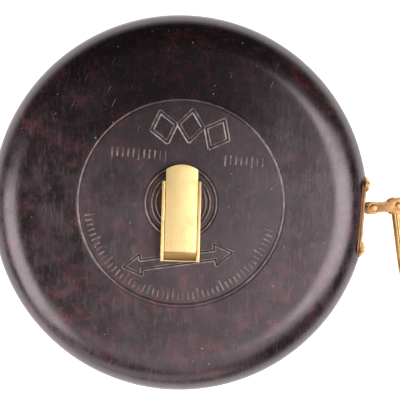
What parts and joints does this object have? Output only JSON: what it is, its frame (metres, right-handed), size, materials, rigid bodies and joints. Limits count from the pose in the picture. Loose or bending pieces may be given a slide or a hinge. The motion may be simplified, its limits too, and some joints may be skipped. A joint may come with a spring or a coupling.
{
  "type": "long measuring tape",
  "caption": "Round hand-wound measuring tape: a moulded case holds a reel of woven tape, with a folding crank, a brass mouth with guide rollers and a ring on the tape's end.",
  "frame": {"origin": "centre of the flat back face that the case rests on", "axes": "+Z along the reel's axis towards the crank, +X out of the mouth along the tape, +Y across the mouth"},
  "size_m": [0.1355, 0.12, 0.0332],
  "materials": {
    "bakelite": "moulded, worn gloss",
    "steel": "turned",
    "wood": "turned beech",
    "brass": "aged",
    "bright_brass": "handled",
    "tape_cloth": "varnished weave"
  },
  "bodies": {
    "case": {"case_front": "bakelite", "case_back": "bakelite", "case_screws": "steel", "front_bush": "brass", "back_bush": "brass", "front_washer": "steel", "back_washer": "steel", "tape_lead": "tape_cloth", "tape_run": "tape_cloth", "mouth_plate": "brass", "mouth_screws": "brass", "roller_pins": "brass"},
    "reel": {"spindle": "steel", "drive_pin": "steel", "reel_core": "wood", "reel_flange_front": "steel", "reel_flange_back": "steel", "reel_rivets": "brass", "tape_anchor_pin": "steel", "tape_coil": "tape_cloth", "crank_arm": "brass", "crank_screw": "steel", "crank_hinge_pin": "bright_brass"},
    "flap": {"crank_flap": "bright_brass"},
    "roller_top": {"roller_upper": "steel"},
    "roller_bottom": {"roller_lower": "steel"},
    "tape_end": {"tape_tip": "tape_cloth", "tape_clamp": "brass"},
    "link": {"end_link": "brass", "link_pin_inner": "bright_brass", "link_pin_outer": "bright_brass"},
    "ring": {"end_ring": "bright_brass"}
  },
  "joints": [
    {"name": "reel_spin", "type": "hinge", "parent": "case", "child": "reel", "pos_m": [0, 0, 0.014], "axis": [0, 0, 1], "range_deg": [-360, 0]},
    {"name": "crank_fold", "type": "hinge", "parent": "reel", "child": "flap", "pos_m": [0.00083, -0.01588, 0.0309], "axis": [0.9986, 0.0523, 0], "range_deg": [0, 90]},
    {"name": "tape_pull", "type": "slide", "parent": "case", "child": "tape_end", "axis": [1, 0, 0], "range_m": [0, 0.318], "deforming": ["tape_run"]},
    {"name": "roller_upper_spin", "type": "hinge", "parent": "case", "child": "roller_top", "pos_m": [0.0548, 0.0053, 0.014], "axis": [0, 0, 1], "continuous": true},
    {"name": "roller_lower_spin", "type": "hinge", "parent": "case", "child": "roller_bottom", "pos_m": [0.0548, -0.0053, 0.014], "axis": [0, 0, 1], "continuous": true},
    {"name": "link_swing", "type": "hinge", "parent": "tape_end", "child": "link", "pos_m": [0.06165, 0.00306, 0.014], "axis": [0, 0, 1], "range_deg": [-35, 45]},
    {"name": "ring_swing", "type": "hinge", "parent": "link", "child": "ring", "pos_m": [0.06965, 0.00433, 0.014], "axis": [0, 0, 1], "range_deg": [-30, 150]}
  ],
  "couplings": [
    {"joint": "tape_pull", "follows": "reel_spin", "m_per_rad": -0.0506},
    {"joint": "roller_upper_spin", "follows": "reel_spin", "ratio": -25.3}
  ]
}
